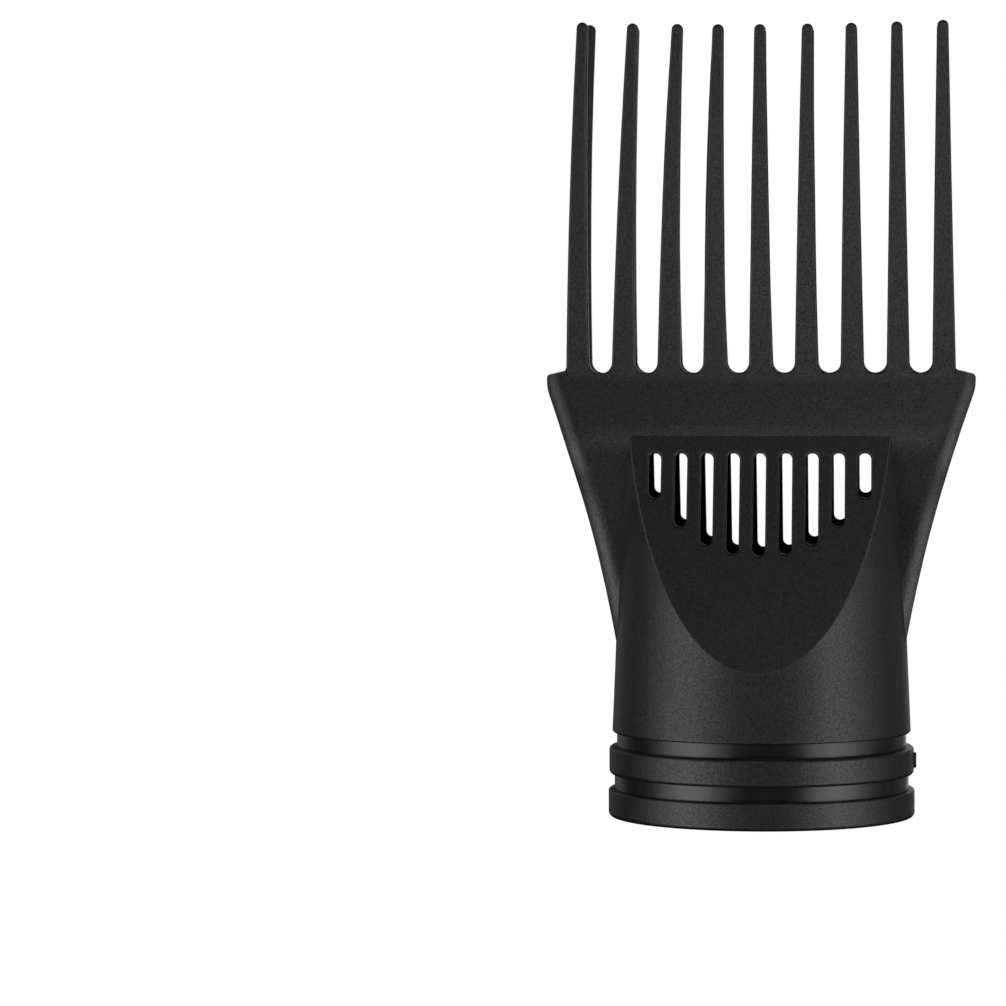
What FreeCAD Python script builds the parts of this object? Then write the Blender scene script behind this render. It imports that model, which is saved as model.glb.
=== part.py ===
"""Comb nozzle (pick attachment) for a hair dryer.

Frame: millimetres, +Z up, origin at the bottom centre of the collar.  The nozzle stands on its collar,
the comb points up, the wide sides face -Y (front) and +Y (back), and the comb's rows run along X.
"""
import FreeCAD, Part
import math
import os
import Sketcher

doc = FreeCAD.newDocument("comb_nozzle")

# ---------------------------------------------------------------- driving dimensions, mm and degrees
DIMENSIONS = [
    ("overall_height", 149.0, "bottom of the rim to the tips of the teeth"),
    ("mouth_half_width", 40.07, "half of the widest part, at the shoulders"),
    ("bore_radius", 25.25, "socket for the dryer's barrel"),
    ("wall", 1.9, "wall of the air duct"),
    # collar
    ("rim_radius", 28.8, "outside of the bottom hoop"),
    ("rim_height", 5.2, "height of the bottom hoop"),
    ("rim_round", 0.9, "rounded bottom edge of the rim"),
    ("lower_band_radius", 27.65, "polished band above the rim"),
    ("ring_bottom", 8.0, "underside of the middle hoop"),
    ("ring_top", 13.2, "top of the middle hoop"),
    ("ring_radius", 28.65, "outside of the middle hoop"),
    ("ring_round", 0.6, "rounded upper corner of the middle hoop"),
    ("ring_low_round", 0.8, "rounded lower corner of the middle hoop"),
    ("upper_band_radius", 27.2, "polished band above the middle hoop"),
    ("hoop_edge", 0.4, "rounded upper edge of the rim, and the flat inside it underneath"),
    ("lip", 0.9, "inward lip under the sleeve, and its stop lip"),
    ("rim_seat_radius", 27.0, "sleeve inside the rim hoop"),
    ("spigot_radius", 26.4, "sleeve inside the shells"),
    ("sleeve_top", 26.0, "top of the sleeve"),
    ("stop_radius", 24.2, "stop lip that the barrel meets"),
    ("bead_radius", 27.0, "bead that locks the sleeve into the shells"),
    ("bead_bottom", 19.2, "underside of the bead"),
    ("bead_height", 2.2, "height of the bead"),
    ("fit_gap", 0.05, "clearance at the spigot, tongues and bead"),
    ("gate_radius", 1.45, "gate mark left on the middle hoop"),
    ("gate_proud", 0.45, "how far the gate mark stands out"),
    # shells
    ("body_bottom", 15.9, "lower edge of the shells"),
    ("cone_radius", 28.07, "cone at the lower edge of the shells"),
    ("cone_slope", 0.0425, "radius lost for each millimetre of height"),
    ("foot_round", 0.4, "rounded lower edge of the cone"),
    ("bend_height", 71.5, "crease between the sloping facet and the upper plate"),
    ("bend_half_depth", 8.2, "half of the depth at the crease"),
    ("facet_angle", 24.35, "lean of the facet from upright"),
    ("ridge_round", 0.5, "rounding of the ridge round the facet"),
    ("flare_bottom", 28.0, "where the wings start, inside the cone"),
    ("flare_bottom_half_width", 26.32, "half width of the wings there"),
    ("flare_top", 80.6, "where the wings' curved sides end"),
    ("flare_radius", 282.0, "curve of the wings' sides, seen from the front"),
    ("hip_round", 8.0, "rounding where the curved sides end"),
    ("shoulder_low", 83.3, "shoulder at its outer corner"),
    ("shoulder_high", 83.85, "shoulder beside the first tooth"),
    ("shoulder_round", 0.7, "rounded ends of the shoulder, at its corner and at the tooth"),
    ("wing_round", 4.5, "rounded long edges of the wings"),
    ("wing_flat", 1.05, "how far that rounding is cut back to a flat at the side"),
    ("wing_half_depth", 5.0, "half of the depth of the wings low down"),
    ("waist_height", 56.0, "where the wings start to thicken"),
    ("waist_round", 45.0, "curve there"),
    ("crest_height", 69.2, "the wings' thickest line"),
    ("crest_half_depth", 8.78, "half of the depth there, before its rounding"),
    ("crest_round", 18.0, "rounding of the wings' thickest line"),
    ("root_half_depth", 5.5, "outer faces of the teeth"),
    ("root_height", 83.3, "top of the upper plate"),
    ("root_round", 15.0, "soft turn from the plate into the teeth"),
    ("plate_top", 83.3, "top of the shell's wall, under the comb"),
    # vents
    ("vent_pitch", 4.88, "spacing of the vents"),
    ("vent_width", 2.3, "width of a vent"),
    ("vent_top", 68.55, "top of every vent"),
    ("vent_bottom", 49.85, "bottom of the middle vent"),
    ("vent_lip", 0.5, "rounded lip of a vent"),
    # comb
    ("tooth_pitch", 8.55, "spacing of the teeth"),
    ("tooth_root_width", 4.3, "width of a tooth at its root"),
    ("tooth_tip_width", 2.0, "width of a tooth at its tip"),
    ("tooth_depth", 2.4, "depth of a tooth at its root"),
    ("tooth_tip_depth", 1.8, "depth of a tooth at its tip"),
    ("tooth_edge", 0.5, "rounded front edges of the teeth"),
    ("gap_bottom", 83.4, "bottom of the gaps between the teeth"),
    ("tip_dip", 0.55, "how much lower the middle tooth ends than the outer ones"),
    # seam
    ("tongue_inset", 0.6, "seam tongue, from the outside of the side wall"),
    ("tongue_width", 0.7, "width of the tongue"),
    ("tongue_height", 0.9, "how far the tongue enters the back shell"),
    ("tongue_bottom", 44.0, "lower end of the tongue"),
    ("tongue_top", 78.0, "upper end of the tongue"),
]

TOOTH_COUNT = 9
VENT_COUNT = 9
# How far each slender tooth stands off upright half-way up and at its tip, left to right.
FRONT_LEANS = (
    (0.14, 0.97), (0.66, 1.83), (0.48, 1.64), (0.14, 0.69), (-0.08, -0.09),
    (0.02, 0.22), (-0.19, -0.19), (-0.15, -0.30), (-0.21, -0.33),
)
BACK_LEANS = (
    (0.42, 1.84), (0.36, 1.57), (0.02, 1.25), (-0.38, 0.39), (-0.38, -0.22),
    (-0.17, 0.22), (-0.19, -0.23), (-0.15, -0.30), (-0.21, -0.33),
)
# The vents get shorter towards the sides: bottom edge = vent_bottom + VENT_RISE * place ** VENT_POWER.
VENT_RISE = 0.39
VENT_POWER = 2.38

sheet = doc.addObject("Spreadsheet::Sheet", "dims")
for row, (alias, value, note) in enumerate(DIMENSIONS, start=1):
    sheet.set(f"A{row}", note)
    sheet.set(f"B{row}", str(value))
    sheet.setAlias(f"B{row}", alias)
doc.recompute()


def size(expression):
    """The number that an expression over the sheet gives."""
    return float(sheet.evalExpression(expression))


def dim(alias):
    return size(f"dims.{alias}")


# ---------------------------------------------------------------- small helpers

def vector(x, y, z):
    return FreeCAD.Vector(x, y, z)


# A sketch's own axes: XZ has X across and Z up, YZ has Y across and Z up, XY has X across and Y up.
PLANES = {
    "XY": FreeCAD.Rotation(),
    "XZ": FreeCAD.Rotation(vector(1, 0, 0), 90),
    "YZ": FreeCAD.Rotation(vector(1, 1, 1), 120),
}
ACROSS = {"XZ": vector(0, 1, 0), "YZ": vector(1, 0, 0), "XY": vector(0, 0, 1)}


def bind(sketch, constraint, name, expression):
    number = sketch.addConstraint(constraint)
    sketch.renameConstraint(number, name)
    sketch.setExpression(f"Constraints.{name}", expression)


def end_at(sketch, side, place):
    """Which end of a sketched line or arc lies at a place."""
    return 1 if sketch.getPoint(side, 1).distanceToPoint(place) < 1e-4 else 2


def draw_polygon(sketch, corners, arcs=None):
    """Closes an outline through corners whose places are bound to the sheet.

    corners holds pairs of expressions.  arcs maps a side's number to a radius expression and to the
    hand of its bulge, +1 to the left of the way that the outline runs and -1 to the right.
    """
    arcs = arcs or {}
    places = [vector(size(across), size(up), 0) for across, up in corners]
    for side, start in enumerate(places):
        end = places[(side + 1) % len(places)]
        if side not in arcs:
            sketch.addGeometry(Part.LineSegment(start, end))
            continue
        radius, hand = arcs[side]
        half = (end - start) * 0.5
        sagitta = size(radius) - math.sqrt(size(radius) ** 2 - half.Length ** 2)
        outwards = vector(-half.y, half.x, 0).normalize() * hand
        sketch.addGeometry(Part.Arc(start, start + half + outwards * sagitta, end))
    for side, (across, up) in enumerate(corners):
        here = places[side]
        before = (side - 1) % len(corners)
        point = end_at(sketch, side, here)
        last_point = end_at(sketch, before, here)
        sketch.addConstraint(Sketcher.Constraint("Coincident", before, last_point, side, point))
        bind(sketch, Sketcher.Constraint("DistanceX", -1, 1, side, point, here.x), f"across{side}", across)
        bind(sketch, Sketcher.Constraint("DistanceY", -1, 1, side, point, here.y), f"up{side}", up)
    for side, (radius, _) in arcs.items():
        bind(sketch, Sketcher.Constraint("Radius", side, size(radius)), f"radius{side}", radius)


def free_sketch(name, plane, corners, arcs=None):
    sketch = doc.addObject("Sketcher::SketchObject", name)
    sketch.Placement = FreeCAD.Placement(vector(0, 0, 0), PLANES[plane])
    draw_polygon(sketch, corners, arcs)
    return sketch


def slab(name, plane, corners, depth, arcs=None):
    """A sketched outline made solid, the same depth to both sides of its plane."""
    solid = doc.addObject("Part::Extrusion", name)
    solid.Base = free_sketch(f"{name}_outline", plane, corners, arcs)
    solid.DirMode = "Custom"
    solid.Dir = ACROSS[plane]
    solid.Solid = True
    solid.Symmetric = True
    solid.setExpression("LengthFwd", depth)
    return solid


def turned(name, corners):
    """A sketched half section turned about Z."""
    solid = doc.addObject("Part::Revolution", name)
    solid.Source = free_sketch(f"{name}_section", "XZ", corners)
    solid.Axis = vector(0, 0, 1)
    solid.Base = vector(0, 0, 0)
    solid.Angle = 360
    solid.Solid = True
    return solid


def common(name, first, second):
    result = doc.addObject("Part::Common", name)
    result.Base = first
    result.Tool = second
    return result


def cut(name, base, tool):
    result = doc.addObject("Part::Cut", name)
    result.Base = base
    result.Tool = tool
    return result


def fuse(name, shapes):
    result = doc.addObject("Part::MultiFuse", name)
    result.Shapes = shapes
    result.Refine = True
    return result


def rounded(name, base, radius, wanted):
    """Rounds the edges that the test called wanted accepts."""
    doc.recompute()
    numbers = [number for number, edge in enumerate(base.Shape.Edges, start=1) if wanted(edge)]
    result = doc.addObject("Part::Fillet", name)
    result.Base = base
    result.Edges = [(number, radius, radius) for number in numbers]
    doc.recompute()
    return result


def middle_of(edge):
    return edge.valueAt((edge.FirstParameter + edge.LastParameter) / 2)


# ---------------------------------------------------------------- air duct, both halves together

FACET_SLOPE = "tan(dims.facet_angle)"


def cone_radius_at(height):
    return f"dims.cone_radius - dims.cone_slope * ({height} - dims.body_bottom)"


def facet_depth_at(height):
    return f"dims.bend_half_depth + (dims.bend_height - {height}) * {FACET_SLOPE}"


def wedge(name, inset):
    """What lies between the front and the back facet."""
    low = f"({facet_depth_at('dims.body_bottom')} - {inset})"
    high = f"({facet_depth_at('dims.flare_top')} - {inset})"
    corners = [
        (f"-{low}", "dims.body_bottom"),
        (low, "dims.body_bottom"),
        (high, "dims.flare_top"),
        (f"-{high}", "dims.flare_top"),
    ]
    return slab(name, "YZ", corners, "2 * dims.rim_radius + 4")


def wings_front_view(name, inset, top, depth):
    """The flared wings seen from the front, inside the outline by inset."""
    low = f"(dims.flare_bottom_half_width - {inset})"
    high = f"(dims.mouth_half_width - {inset})"
    corners = [
        (f"-{low}", "dims.flare_bottom"),
        (low, "dims.flare_bottom"),
        (high, "dims.flare_top"),
        (high, top),
        (f"-{high}", top),
        (f"-{high}", "dims.flare_top"),
    ]
    curve = f"dims.flare_radius + {inset}"
    view = slab(name, "XZ", corners, depth, arcs={1: (curve, 1), 5: (curve, 1)})
    return rounded(f"{name}_hips", view, dim("hip_round"), on_hip)


def on_hip(edge):
    """Where the curved side of a wing meets its short upright end."""
    middle = middle_of(edge)
    return edge.BoundBox.ZLength < 1e-6 and abs(middle.z - dim("flare_top")) < 1e-6


def wings_side_view(name, inset, straight_root):
    """The wings and the upper plate seen from the side."""
    top = "(dims.shoulder_high + 2)"
    corners = [
        (f"(dims.wing_half_depth - {inset})", "dims.flare_bottom"),
        (f"(dims.wing_half_depth - {inset})", "dims.waist_height"),
        (f"(dims.crest_half_depth - {inset})", "dims.crest_height"),
    ]
    if straight_root:
        corners.append(("(dims.root_half_depth - dims.tooth_depth)", "dims.root_height"))
        corners.append(("(dims.root_half_depth - dims.tooth_depth)", top))
    else:
        corners.append(("dims.root_half_depth", "dims.root_height"))
        corners.append(("dims.root_half_depth", top))
    corners += [(f"-{depth}", height) for depth, height in reversed(corners)]
    profile = slab(name, "YZ", corners, "2 * dims.mouth_half_width + 4")
    waist = dim("waist_height")
    crest = dim("crest_height")
    smooth_waist = rounded(
        f"{name}_waist", profile, dim("waist_round"),
        lambda edge: runs_along_x(edge, waist),
    )
    smooth_crest = rounded(
        f"{name}_crest", smooth_waist, dim("crest_round"),
        lambda edge: runs_along_x(edge, crest),
    )
    if straight_root:
        return smooth_crest
    root = dim("root_height")
    return rounded(
        f"{name}_root", smooth_crest, dim("root_round"),
        lambda edge: runs_along_x(edge, root),
    )


def runs_along_x(edge, height):
    middle = middle_of(edge)
    flat = abs(edge.BoundBox.YLength) < 1e-6 and abs(edge.BoundBox.ZLength) < 1e-6
    return flat and abs(middle.x) < 1e-6 and abs(middle.z - height) < 1e-6


# Outside: the cone cut back to the two facets, then the wings and the upper plate.
cone_outside = turned("cone_outside", [
    ("0", "dims.body_bottom"),
    ("dims.cone_radius", "dims.body_bottom"),
    (cone_radius_at("dims.flare_top"), "dims.flare_top"),
    ("0", "dims.flare_top"),
])


def on_foot(edge):
    """The cone's lower edge."""
    middle = middle_of(edge)
    level = edge.BoundBox.ZLength < 1e-6 and abs(middle.z - dim("body_bottom")) < 1e-6
    return level and math.hypot(middle.x, middle.y) > 1


soft_cone = rounded("soft_cone", cone_outside, dim("foot_round"), on_foot)
faceted_cone = common("faceted_cone", soft_cone, wedge("wedge_outside", "0"))


def on_ridge(edge):
    """The curved edge where a facet meets the cone."""
    middle = middle_of(edge)
    facet = size(facet_depth_at(f"{middle.z}"))
    cone = size(cone_radius_at(f"{middle.z}"))
    on_facet = abs(abs(middle.y) - facet) < 1e-3
    return on_facet and abs(math.hypot(middle.x, middle.y) - cone) < 1e-3


def on_wing_edge(edge):
    """A long edge between a wing's side and its front or back face."""
    middle = middle_of(edge)
    upright = edge.BoundBox.ZLength > 1e-3
    return upright and abs(middle.x) > dim("flare_bottom_half_width") - 1


ridged_cone = rounded("ridged_cone", faceted_cone, dim("ridge_round"), on_ridge)
WINGS_TOP = "dims.shoulder_high + 1.5"
wide_wings = common(
    "wide_wings",
    wings_front_view("wings_wide", "(-dims.wing_flat)", WINGS_TOP, "40"),
    wings_side_view("wings_side", "0", straight_root=False),
)
soft_wings = rounded("soft_wings", wide_wings, dim("wing_round"), on_wing_edge)
round_wings = common(
    "round_wings",
    soft_wings,
    wings_front_view("wings_front", "0", WINGS_TOP, "42"),
)

# The top is cut down to the wall under the comb, and to a shoulder that falls away at each side.
first_tooth_edge = f"({TOOTH_COUNT // 2} * dims.tooth_pitch + dims.tooth_root_width / 2)"
right_of_comb = [
    (first_tooth_edge, "dims.plate_top"),
    (first_tooth_edge, "dims.shoulder_high + dims.shoulder_round"),
    (f"{first_tooth_edge} + dims.shoulder_round", "dims.shoulder_high"),
    ("dims.mouth_half_width - dims.shoulder_round", "dims.shoulder_low"),
    ("dims.mouth_half_width", "dims.shoulder_low - dims.shoulder_round"),
    ("dims.mouth_half_width + 5", "dims.shoulder_low - dims.shoulder_round"),
    ("dims.mouth_half_width + 5", "dims.shoulder_high + 5"),
]
left_of_comb = [(f"-({across})", up) for across, up in reversed(right_of_comb)]
SOFT = "1.05 * dims.shoulder_round"
above_shoulders = slab(
    "above_shoulders", "XZ", right_of_comb + left_of_comb, "60",
    arcs={1: (SOFT, -1), 3: (SOFT, 1), 9: (SOFT, 1), 11: (SOFT, -1)},
)
shouldered = cut("shouldered", round_wings, above_shoulders)
duct_outside = fuse("duct_outside", [ridged_cone, shouldered])

# Inside: the same shapes one wall further in, open at the mouth, with a seat for the sleeve.
cone_inside = turned("cone_inside", [
    ("0", "dims.body_bottom"),
    (f"{cone_radius_at('dims.body_bottom')} - dims.wall", "dims.body_bottom"),
    (f"{cone_radius_at('dims.flare_top')} - dims.wall", "dims.flare_top"),
    ("0", "dims.flare_top"),
])
wedge_inside = wedge("wedge_inside", "dims.wall / cos(dims.facet_angle)")
faceted_inside = common("faceted_inside", cone_inside, wedge_inside)
wings_inside = common(
    "wings_inside",
    wings_front_view("inner_front", "dims.wall", "dims.shoulder_high + 3", "40"),
    wings_side_view("inner_side", "dims.wall", straight_root=True),
)
sleeve_seat = turned("sleeve_seat", [
    ("0", "dims.body_bottom - 1"),
    ("dims.spigot_radius + dims.fit_gap", "dims.body_bottom - 1"),
    ("dims.spigot_radius + dims.fit_gap", "dims.bead_bottom - dims.fit_gap"),
    ("dims.bead_radius + dims.fit_gap", "dims.bead_bottom - dims.fit_gap"),
    ("dims.bead_radius + dims.fit_gap", "dims.bead_bottom + dims.bead_height + dims.fit_gap"),
    ("dims.spigot_radius + dims.fit_gap", "dims.bead_bottom + dims.bead_height + dims.fit_gap"),
    ("dims.spigot_radius + dims.fit_gap", "dims.sleeve_top + dims.fit_gap"),
    ("0", "dims.sleeve_top + dims.fit_gap"),
])
duct_inside = fuse("duct_inside", [faceted_inside, wings_inside, sleeve_seat])
duct = cut("duct", duct_outside, duct_inside)


# ---------------------------------------------------------------- vents

def vent_bottom(place):
    """Bottom of the vent that is so many places from the middle one."""
    return f"(dims.vent_bottom + {VENT_RISE * abs(place) ** VENT_POWER:.4f})"


def vent(place):
    """A round-ended slot through both facets."""
    middle = f"{place} * dims.vent_pitch"
    half = "dims.vent_width / 2"
    pieces = []
    column = doc.addObject("Part::Box", f"vent_column_{place + VENT_COUNT // 2 + 1}")
    column.Width = 80
    column.setExpression("Length", "dims.vent_width")
    column.setExpression("Height", f"dims.vent_top - {vent_bottom(place)} - dims.vent_width")
    column.setExpression("Placement.Base.x", f"{middle} - {half}")
    column.setExpression("Placement.Base.y", "-40")
    column.setExpression("Placement.Base.z", f"{vent_bottom(place)} + {half}")
    pieces.append(column)
    for end, height in (("low", f"{vent_bottom(place)} + {half}"), ("high", f"dims.vent_top - {half}")):
        cap = doc.addObject("Part::Cylinder", f"vent_{end}_{place + VENT_COUNT // 2 + 1}")
        cap.Height = 80
        cap.Placement = FreeCAD.Placement(vector(0, 40, 0), PLANES["XZ"])
        cap.setExpression("Radius", half)
        cap.setExpression("Placement.Base.x", middle)
        cap.setExpression("Placement.Base.z", height)
        pieces.append(cap)
    return fuse(f"vent_{place + VENT_COUNT // 2 + 1}", pieces)


vents = doc.addObject("Part::Compound", "vents")
vents.Links = [vent(place) for place in range(-(VENT_COUNT // 2), VENT_COUNT // 2 + 1)]
vented_duct = cut("vented_duct", duct, vents)


def on_vent_lip(edge):
    """An edge of a vent on the outside of a facet."""
    middle = middle_of(edge)
    if abs(middle.x) > (VENT_COUNT // 2 + 0.5) * dim("vent_pitch"):
        return False
    inside_rows = dim("vent_bottom") - 1 < middle.z < dim("vent_top") + 0.5
    return inside_rows and abs(abs(middle.y) - size(facet_depth_at(f"{middle.z}"))) < 1e-3


lipped_duct = rounded("lipped_duct", vented_duct, dim("vent_lip"), on_vent_lip)


# ---------------------------------------------------------------- comb

def tooth_side(root, towards, leans):
    """One long side of a tooth in the XZ plane: the knee of its curve, and its line at the tip.

    towards is +1 for a tooth's left side and -1 for its right, the way that the taper moves it.
    """
    half_lean, tip_lean = leans
    length = dim("overall_height") - dim("tooth_tip_width") / 2 - root.z
    narrowing = math.tan(taper_angle()) * length * towards
    knee = root + vector(narrowing / 2 + 2 * half_lean - tip_lean / 2, 0, length / 2)
    tip = root + vector(narrowing + tip_lean, 0, length)
    return knee, (tip - knee).normalize()


def taper_angle():
    narrowing = (dim("tooth_root_width") - dim("tooth_tip_width")) / 2
    return math.atan(narrowing / (dim("overall_height") - dim("gap_bottom")))


def tip_circle(top, left_knee, left_line, right_knee, right_line):
    """Centre and radius of the circle that touches both sides and reaches up to top."""
    left_normal = vector(left_line.z, 0, -left_line.x)
    right_normal = vector(-right_line.z, 0, right_line.x)
    left_sum = top + left_normal.dot(left_knee)
    right_sum = top + right_normal.dot(right_knee)
    divisor = left_normal.x * (right_normal.z + 1) - right_normal.x * (left_normal.z + 1)
    across = (left_sum * (right_normal.z + 1) - right_sum * (left_normal.z + 1)) / divisor
    up = (left_normal.x * right_sum - right_normal.x * left_sum) / divisor
    return vector(across, 0, up), top - up, left_normal, right_normal


def comb_outline(leans):
    """The closed outline of a row of teeth and of the strip that joins them, in the XZ plane."""
    taper = taper_angle()
    gap_half = (dim("tooth_pitch") - dim("tooth_root_width")) / 2
    gap_radius = gap_half / math.cos(taper)
    gap_centre = dim("gap_bottom") + gap_radius
    root_up = gap_centre - gap_radius * math.sin(taper)
    strip_bottom = dim("plate_top") - 1.5
    edges = []
    for number, lean in enumerate(leans):
        place = number - TOOTH_COUNT // 2
        middle = place * dim("tooth_pitch")
        top = dim("overall_height") - dim("tip_dip") * (1 - (place / (TOOTH_COUNT // 2)) ** 2)
        left_root = vector(middle - dim("tooth_root_width") / 2, 0, root_up)
        right_root = vector(middle + dim("tooth_root_width") / 2, 0, root_up)
        left_knee, left_line = tooth_side(left_root, 1, lean)
        right_knee, right_line = tooth_side(right_root, -1, lean)
        tip = tip_circle(top, left_knee, left_line, right_knee, right_line)
        centre, radius, left_normal, right_normal = tip
        left_tip = centre - left_normal * radius
        right_tip = centre - right_normal * radius
        if number == 0:
            foot = left_root - vector(math.tan(taper), 0, 1) * (root_up - strip_bottom)
            edges.append(Part.makeLine(foot, left_root))
            left_foot = foot
        edges.append(bezier(left_root, left_knee, left_tip))
        edges.append(Part.Arc(left_tip, centre + vector(0, 0, radius), right_tip).toShape())
        edges.append(bezier(right_tip, right_knee, right_root))
        if number < TOOTH_COUNT - 1:
            gap_middle = middle + dim("tooth_pitch") / 2
            next_root = vector(gap_middle + gap_half, 0, root_up)
            gap_floor = vector(gap_middle, 0, dim("gap_bottom"))
            edges.append(Part.Arc(right_root, gap_floor, next_root).toShape())
    right_foot = right_root + vector(math.tan(taper), 0, -1) * (root_up - strip_bottom)
    edges.append(Part.makeLine(right_root, right_foot))
    edges.append(Part.makeLine(right_foot, left_foot))
    return Part.Wire(edges)


def bezier(*poles):
    curve = Part.BezierCurve()
    curve.setPoles(list(poles))
    return curve.toShape()


def comb(name, leans, side):
    """A row of teeth: side is -1 for the front row and +1 for the back row."""
    outline = doc.addObject("Part::Feature", f"{name}_outline")
    outline.Shape = Part.Face(comb_outline(leans))
    outline.setExpression("Placement.Base.y", f"{side} * dims.root_half_depth")
    blank = doc.addObject("Part::Extrusion", f"{name}_blank")
    blank.Base = outline
    blank.DirMode = "Custom"
    blank.Dir = vector(0, -side, 0)
    blank.Solid = True
    blank.setExpression("LengthFwd", "dims.tooth_depth")
    outer = side * dim("root_half_depth")

    def on_outer_edge(edge):
        flat = edge.BoundBox.YLength < 1e-6 and abs(middle_of(edge).y - outer) < 1e-6
        return flat and middle_of(edge).z > dim("plate_top") - 1

    soft = rounded(f"{name}_soft", blank, dim("tooth_edge"), on_outer_edge)
    inner = f"{side} * (dims.root_half_depth - dims.tooth_depth)"
    inner_tip = f"{side} * (dims.root_half_depth - dims.tooth_tip_depth)"
    beyond = f"{side} * (dims.root_half_depth - dims.tooth_depth - 2)"
    draft = slab(f"{name}_draft", "YZ", [
        (inner, "dims.gap_bottom + 4"),
        (inner_tip, "dims.overall_height + 1"),
        (beyond, "dims.overall_height + 1"),
        (beyond, "dims.gap_bottom + 4"),
    ], "2 * dims.mouth_half_width + 4")
    return cut(name, soft, draft)


front_comb = comb("front_comb", FRONT_LEANS, -1)
back_comb = comb("back_comb", BACK_LEANS, 1)


# ---------------------------------------------------------------- the two shells and their seam

def half_space(name, side):
    box = doc.addObject("Part::Box", name)
    box.Length = 100
    box.Width = 50
    box.Height = 160
    box.Placement.Base = vector(-50, -50 if side < 0 else 0, -5)
    return box


def seam_strip(name, extra):
    """A strip inside both side walls, standing over the seam on the back half's side."""
    outer = wings_front_view(f"{name}_outer", f"(dims.tongue_inset - {extra})", "dims.shoulder_high", "40")
    behind = f"(dims.tongue_inset + dims.tongue_width + {extra})"
    inner = wings_front_view(f"{name}_inner", behind, "dims.shoulder_high + 1", "42")
    span = doc.addObject("Part::Box", f"{name}_span")
    span.Length = 100
    span.Placement.Base = vector(-50, -0.5, 0)
    span.setExpression("Width", f"0.5 + dims.tongue_height + {extra}")
    span.setExpression("Height", f"dims.tongue_top - dims.tongue_bottom + 2 * {extra}")
    span.setExpression("Placement.Base.z", f"dims.tongue_bottom - {extra}")
    return common(name, cut(f"{name}_walls", outer, inner), span)


front_half = common("front_half", lipped_duct, half_space("front_space", -1))
back_half = common("back_half", lipped_duct, half_space("back_space", 1))
front_shell = fuse("front_shell", [front_half, front_comb, seam_strip("tongue", "0")])
back_whole = fuse("back_whole", [back_half, back_comb])
back_shell = cut("back_shell", back_whole, seam_strip("groove", "dims.fit_gap"))


# ---------------------------------------------------------------- collar

def turned_body(name, corners):
    """A PartDesign body turned from a section beside the Z axis."""
    body = doc.addObject("PartDesign::Body", name)
    section = body.newObject("Sketcher::SketchObject", f"{name}_section")
    plane = next(item for item in body.Origin.OriginFeatures if item.Role == "XZ_Plane")
    section.AttachmentSupport = (plane, [""])
    section.MapMode = "FlatFace"
    draw_polygon(section, corners)
    turn = body.newObject("PartDesign::Revolution", f"{name}_turn")
    turn.Profile = section
    turn.ReferenceAxis = (section, ["V_Axis"])
    turn.Angle = 360
    doc.recompute()
    return body


def round_edges(body, name, radius, wanted):
    """Rounds the edges of the body's last feature that the test called wanted accepts."""
    last = body.Tip
    names = [f"Edge{number}" for number, edge in enumerate(last.Shape.Edges, start=1) if wanted(edge)]
    fillet = body.newObject("PartDesign::Fillet", name)
    fillet.Base = (last, names)
    fillet.setExpression("Radius", radius)
    doc.recompute()


def is_circle(edge, radius, height):
    """A level circle about Z, given its radius and height as expressions."""
    middle = middle_of(edge)
    level = edge.BoundBox.ZLength < 1e-6 and abs(middle.z - size(height)) < 1e-6
    return level and abs(math.hypot(middle.x, middle.y) - size(radius)) < 1e-6


socket_sleeve = turned_body("socket_sleeve", [
    ("dims.bore_radius", "dims.lip"),
    ("dims.rim_seat_radius", "dims.lip"),
    ("dims.rim_seat_radius", "dims.rim_height"),
    ("dims.lower_band_radius", "dims.rim_height"),
    ("dims.lower_band_radius", "dims.ring_bottom"),
    ("dims.upper_band_radius", "dims.ring_bottom"),
    ("dims.upper_band_radius", "dims.body_bottom"),
    ("dims.spigot_radius", "dims.body_bottom"),
    ("dims.spigot_radius", "dims.bead_bottom"),
    ("dims.bead_radius", "dims.bead_bottom"),
    ("dims.bead_radius", "dims.bead_bottom + dims.bead_height"),
    ("dims.spigot_radius", "dims.bead_bottom + dims.bead_height"),
    ("dims.spigot_radius", "dims.sleeve_top"),
    ("dims.stop_radius", "dims.sleeve_top"),
    ("dims.stop_radius", "dims.sleeve_top - dims.lip"),
    ("dims.bore_radius", "dims.sleeve_top - dims.lip"),
])

rim_hoop = turned_body("rim_hoop", [
    ("dims.bore_radius + dims.hoop_edge", "0"),
    ("dims.rim_radius", "0"),
    ("dims.rim_radius", "dims.rim_height"),
    ("dims.rim_seat_radius", "dims.rim_height"),
    ("dims.rim_seat_radius", "dims.lip"),
    ("dims.bore_radius + dims.hoop_edge", "dims.lip"),
])
round_edges(
    rim_hoop, "rim_top_edge", "dims.hoop_edge",
    lambda edge: is_circle(edge, "dims.rim_radius", "dims.rim_height"),
)
round_edges(
    rim_hoop, "rim_bottom_edge", "dims.rim_round",
    lambda edge: is_circle(edge, "dims.rim_radius", "0"),
)

middle_hoop = turned_body("middle_hoop", [
    ("dims.upper_band_radius", "dims.ring_bottom"),
    ("dims.ring_radius", "dims.ring_bottom"),
    ("dims.ring_radius", "dims.ring_top"),
    ("dims.upper_band_radius", "dims.ring_top"),
])
round_edges(
    middle_hoop, "upper_corner", "dims.ring_round",
    lambda edge: is_circle(edge, "dims.ring_radius", "dims.ring_top"),
)
round_edges(
    middle_hoop, "lower_corner", "dims.ring_low_round",
    lambda edge: is_circle(edge, "dims.ring_radius", "dims.ring_bottom"),
)
gate_mark = middle_hoop.newObject("PartDesign::AdditiveCylinder", "gate_mark")
gate_mark.Placement = FreeCAD.Placement(vector(0, 0, 0), FreeCAD.Rotation(vector(0, 1, 0), 90))
gate_mark.setExpression("Radius", "dims.gate_radius")
gate_mark.setExpression("Height", "dims.gate_proud + 1")
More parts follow.
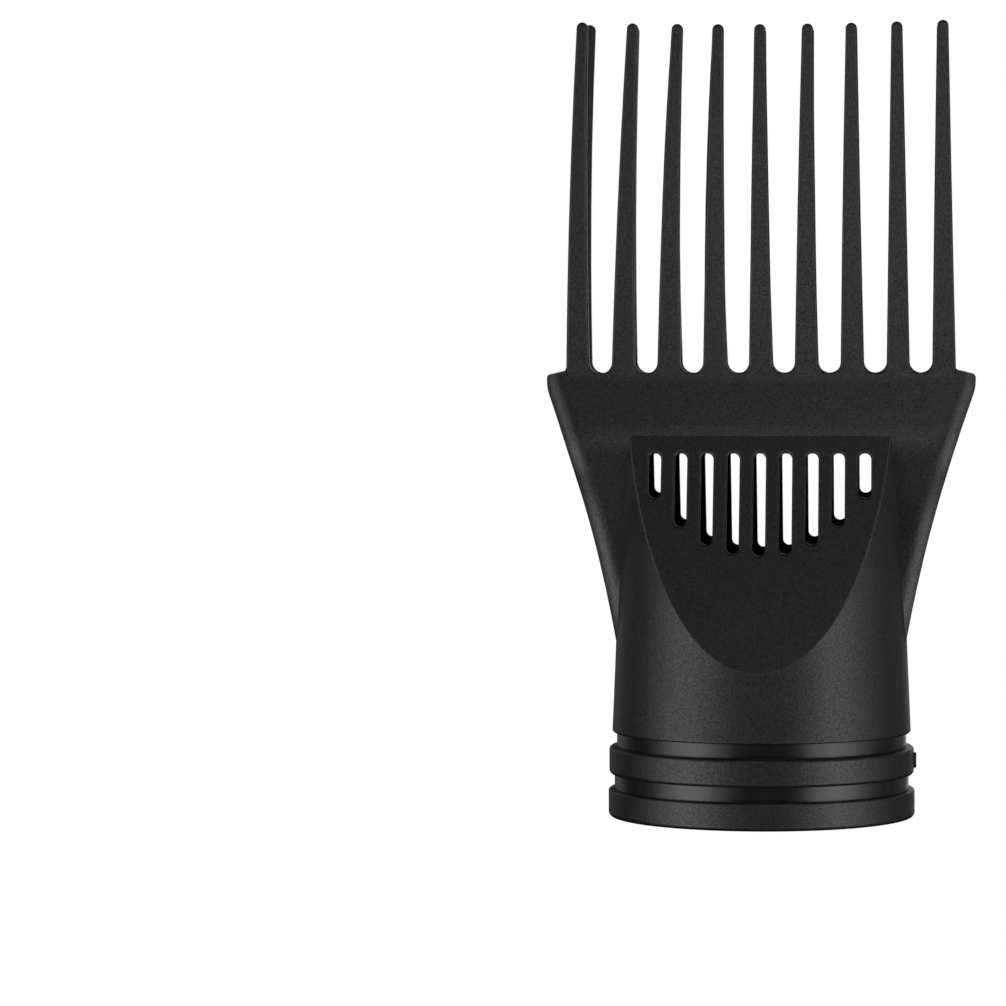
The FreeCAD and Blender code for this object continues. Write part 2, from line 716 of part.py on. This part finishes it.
gate_mark.setExpression("Placement.Base.x", "dims.ring_radius - 1")
gate_mark.setExpression("Placement.Base.z", "(dims.ring_bottom + dims.ring_top) / 2")

# ---------------------------------------------------------------- check and write
doc.recompute()
SUBPARTS = [front_shell, back_shell, socket_sleeve, middle_hoop, rim_hoop]
for item in doc.Objects:
    if "Invalid" in item.State or "Error" in item.State:
        raise RuntimeError(f"{item.Name} failed: {item.State}")
os.makedirs("parts", exist_ok=True)
for subpart in SUBPARTS:
    shape = subpart.Shape
    if shape.isNull() or not shape.isValid() or len(shape.Solids) != 1:
        raise RuntimeError(f"{subpart.Name} isn't one valid solid")
for subpart in SUBPARTS:
    subpart.Label = subpart.Name
    subpart.Shape.exportStep(f"parts/{subpart.Label}.step")
    print(f"{subpart.Label}: {subpart.Shape.Volume / 1000:.2f} cm3")
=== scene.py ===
"""Looks of the comb nozzle: materials, floor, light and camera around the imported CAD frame.

Metres, +Z up.  The nozzle stands on its collar at the origin, its front faces -Y, and X runs along the comb.
"""
import math

import bpy
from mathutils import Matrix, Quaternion, Vector

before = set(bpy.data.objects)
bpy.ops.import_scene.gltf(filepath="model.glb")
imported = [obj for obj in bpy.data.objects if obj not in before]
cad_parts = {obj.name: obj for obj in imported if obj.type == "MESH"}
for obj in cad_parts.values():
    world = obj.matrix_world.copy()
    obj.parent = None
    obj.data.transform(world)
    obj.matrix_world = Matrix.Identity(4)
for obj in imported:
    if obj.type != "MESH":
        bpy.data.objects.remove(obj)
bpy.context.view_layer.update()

MM = 0.001

# The band that most of a noise's values fall in.
NOISE_LOW = 0.3
NOISE_HIGH = 0.7

# ---------------------------------------------------------------- camera
CAMERA_PLACE = Vector((0.0262, -0.9005, 0.0977))
CAMERA_AIM = Vector((-0.04875, 0.0, 0.0589))
CAMERA_LENS = 171.3
CAMERA_ROLL = math.radians(-0.157)

# ---------------------------------------------------------------- small helpers


def add_object(name, data):
    piece = bpy.data.objects.new(name, data)
    bpy.context.scene.collection.objects.link(piece)
    return piece


def add_mesh(name, points, faces):
    mesh = bpy.data.meshes.new(name)
    mesh.from_pydata(points, [], faces)
    mesh.update()
    return add_object(name, mesh)


class Nodes:
    """Builds one material's node tree."""

    def __init__(self, name):
        self.material = bpy.data.materials.new(name)
        self.material.use_nodes = True
        self.tree = self.material.node_tree
        self.tree.nodes.clear()
        self.shader = self.add("ShaderNodeBsdfPrincipled")
        output = self.add("ShaderNodeOutputMaterial")
        self.link(self.shader, "BSDF", output, "Surface")

    def add(self, kind, **settings):
        node = self.tree.nodes.new(kind)
        for key, value in settings.items():
            setattr(node, key, value)
        return node

    def link(self, source, out, target, into):
        self.tree.links.new(source.outputs[out], target.inputs[into])

    def place(self):
        """Object coordinates: metres in the row frame, the same for every piece."""
        return self.add("ShaderNodeTexCoord")

    def noise(self, size, detail=2.0, roughness=0.5):
        """Noise whose lumps are about size metres across."""
        node = self.add("ShaderNodeTexNoise")
        node.inputs["Scale"].default_value = 1.0 / size
        node.inputs["Detail"].default_value = detail
        node.inputs["Roughness"].default_value = roughness
        self.link(self.place(), "Object", node, "Vector")
        return node

    def spread(self, noise, low, high):
        """Turns a noise's usual values into the range from low to high."""
        node = self.add("ShaderNodeMapRange")
        node.inputs["From Min"].default_value = NOISE_LOW
        node.inputs["From Max"].default_value = NOISE_HIGH
        node.inputs["To Min"].default_value = low
        node.inputs["To Max"].default_value = high
        self.link(noise, "Fac", node, "Value")
        return node

    def bump(self, noise, height):
        """Relief of the given height, in metres, on the shader's normal."""
        node = self.add("ShaderNodeBump")
        node.inputs["Strength"].default_value = 1.0
        node.inputs["Distance"].default_value = height
        self.link(noise, "Fac", node, "Height")
        self.link(node, "Normal", self.shader, "Normal")


# ---------------------------------------------------------------- materials

def textured_plastic(name):
    """Black moulding with the fine pitted grain of a spark-eroded tool."""
    nodes = Nodes(name)
    shader = nodes.shader
    grain = nodes.noise(0.36 * MM, detail=2.0, roughness=0.7)
    cloud = nodes.noise(9 * MM, detail=3.0)
    tint = nodes.add("ShaderNodeMix", data_type="RGBA")
    tint.inputs["A"].default_value = (0.0050, 0.0051, 0.0053, 1)
    tint.inputs["B"].default_value = (0.0072, 0.0072, 0.0074, 1)
    nodes.link(cloud, "Fac", tint, "Factor")
    nodes.tree.links.new(tint.outputs["Result"], shader.inputs["Base Color"])
    rough = nodes.spread(cloud, 0.40, 0.44)
    nodes.link(rough, "Result", shader, "Roughness")
    glint = nodes.spread(grain, 0.3, 0.7)
    nodes.link(glint, "Result", shader, "Specular IOR Level")
    nodes.bump(grain, 0.045 * MM)
    return nodes.material


def polished_plastic(name):
    """Black moulding from a polished tool."""
    nodes = Nodes(name)
    shader = nodes.shader
    shader.inputs["Base Color"].default_value = (0.0060, 0.0060, 0.0064, 1)
    ripple = nodes.noise(3 * MM, detail=3.0)
    rough = nodes.spread(ripple, 0.26, 0.33)
    nodes.link(rough, "Result", shader, "Roughness")
    nodes.bump(ripple, 0.01 * MM)
    return nodes.material


SHELL = textured_plastic("textured_plastic")
SLEEVE = polished_plastic("polished_plastic")


def paint(node, material):
    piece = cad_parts[node]
    piece.data.materials.clear()
    piece.data.materials.append(material)


for node in ("front_shell", "back_shell", "middle_hoop", "rim_hoop"):
    paint(node, SHELL)
paint("socket_sleeve", SLEEVE)


# ---------------------------------------------------------------- floor and backdrop

def pale_surface():
    """A matt surface that glows, so that it stays an even pale tone."""
    nodes = Nodes("pale_studio")
    nodes.shader.inputs["Base Color"].default_value = (0.05, 0.05, 0.05, 1)
    nodes.shader.inputs["Roughness"].default_value = 1.0
    nodes.shader.inputs["Specular IOR Level"].default_value = 0.0
    nodes.shader.inputs["Emission Color"].default_value = (1, 1, 1, 1)
    nodes.shader.inputs["Emission Strength"].default_value = 1.0
    return nodes.material


def studio_bowl():
    """A round floor that curves up into a wall all the way round."""
    floor_radius = 1.9
    bend = 1.1
    wall_top = 4.0
    steps = 20
    turns = 96
    profile = [(0.0, 0.0), (floor_radius, 0.0)]
    for step in range(1, steps + 1):
        angle = math.pi / 2 * step / steps
        profile.append((floor_radius + bend * math.sin(angle), bend - bend * math.cos(angle)))
    profile.append((floor_radius + bend, wall_top))
    points = []
    for radius, height in profile[1:]:
        for turn in range(turns):
            angle = 2 * math.pi * turn / turns
            points.append((radius * math.cos(angle), radius * math.sin(angle), height))
    faces = [tuple(range(turns))]
    for ring in range(len(profile) - 2):
        for turn in range(turns):
            after = (turn + 1) % turns
            low = ring * turns
            high = low + turns
            faces.append((low + turn, low + after, high + after, high + turn))
    bowl = add_mesh("studio_bowl", points, faces)
    for face in bowl.data.polygons:
        face.use_smooth = True
    bowl.data.materials.append(pale_surface())
    # Only the camera sees the bowl. The nozzle is lit and reflected by the panels alone.
    bowl.visible_glossy = False
    bowl.visible_diffuse = False
    bowl.visible_shadow = False


# ---------------------------------------------------------------- light
LIGHT_AIM = Vector((0, 0, 0.075))


def softbox(name, azimuth, elevation, across, up, distance, radiance):
    """A soft light aimed at the nozzle.

    azimuth 0 is the front and 90 the right-hand side; across and up are the angles that it covers, in
    degrees as the nozzle sees it.
    """
    turn = math.radians(azimuth)
    rise = math.radians(elevation)
    towards = Vector((math.sin(turn) * math.cos(rise), -math.cos(turn) * math.cos(rise), math.sin(rise)))
    light = bpy.data.lights.new(name, "AREA")
    light.shape = "RECTANGLE"
    light.size = 2 * distance * math.tan(math.radians(across) / 2)
    light.size_y = 2 * distance * math.tan(math.radians(up) / 2)
    light.energy = radiance * math.pi * light.size * light.size_y
    lamp = add_object(name, light)
    lamp.location = LIGHT_AIM + towards * distance
    lamp.rotation_mode = "QUATERNION"
    lamp.rotation_quaternion = towards.to_track_quat("Z", "Y")
    lamp.visible_camera = False


# Each row: azimuth, elevation, width and height as seen from the nozzle in degrees, distance in metres,
# radiance.  In order: left side, right side, two close in front, two close above, two low, two for the ridge.
PANELS = [
    (-30, -20, 15, 30, 1.4, 1.11),
    (-45, -20, 15, 30, 1.4, 3.68),
    (-45, 10, 15, 30, 1.4, 0.25),
    (-60, -20, 15, 30, 1.4, 3.45),
    (-60, 10, 15, 30, 1.4, 1.47),
    (-75, -20, 15, 30, 1.4, 1.70),
    (-75, 10, 15, 30, 1.4, 1.53),
    (-90, -20, 15, 30, 1.4, 0.07),
    (-90, 10, 15, 30, 1.4, 0.47),
    (-115, 10, 30, 30, 1.4, 0.08),
    (-145, 10, 30, 40, 1.4, 0.25),
    (-170, 10, 20, 40, 1.4, 0.10),
    (45, -20, 15, 30, 1.4, 2.65),
    (60, -20, 15, 30, 1.4, 3.26),
    (60, 10, 15, 30, 1.4, 2.82),
    (75, -20, 15, 30, 1.4, 2.58),
    (90, -20, 15, 30, 1.4, 0.71),
    (90, 10, 15, 30, 1.4, 0.81),
    (115, -20, 30, 30, 1.4, 0.06),
    (115, 10, 30, 30, 1.4, 0.19),
    (145, 10, 30, 40, 1.4, 0.17),
    (170, 10, 20, 40, 1.4, 0.90),
    (0, 8, 20, 10, 0.3, 3.60),
    (18, 16, 20, 10, 0.3, 2.62),
    (-12, 50, 24, 12, 0.3, 0.46),
    (12, 50, 24, 12, 0.3, 0.68),
    (-14, -38, 28, 20, 1.4, 0.25),
    (22, -38, 40, 20, 1.4, 0.60),
    (-62, 38, 40, 18, 1.4, 0.80),
    (62, 38, 40, 18, 1.4, 0.80),
]

studio_bowl()
for number, panel in enumerate(PANELS, start=1):
    softbox(f"panel_{number}", *panel)

world = bpy.data.worlds.new("studio")
bpy.context.scene.world = world
world.use_nodes = True
# The panels are the only light.
world.node_tree.nodes["Background"].inputs["Strength"].default_value = 0.0
bpy.context.scene.view_settings.view_transform = "Standard"

# ---------------------------------------------------------------- camera
camera_data = bpy.data.cameras.new("camera")
camera_data.lens = CAMERA_LENS
camera_data.sensor_width = 36
camera_data.clip_end = 50
camera = add_object("camera", camera_data)
camera.location = CAMERA_PLACE
camera.rotation_mode = "QUATERNION"
look = (CAMERA_AIM - CAMERA_PLACE).to_track_quat("-Z", "Y")
camera.rotation_quaternion = look @ Quaternion((0, 0, 1), CAMERA_ROLL)
bpy.context.scene.camera = camera
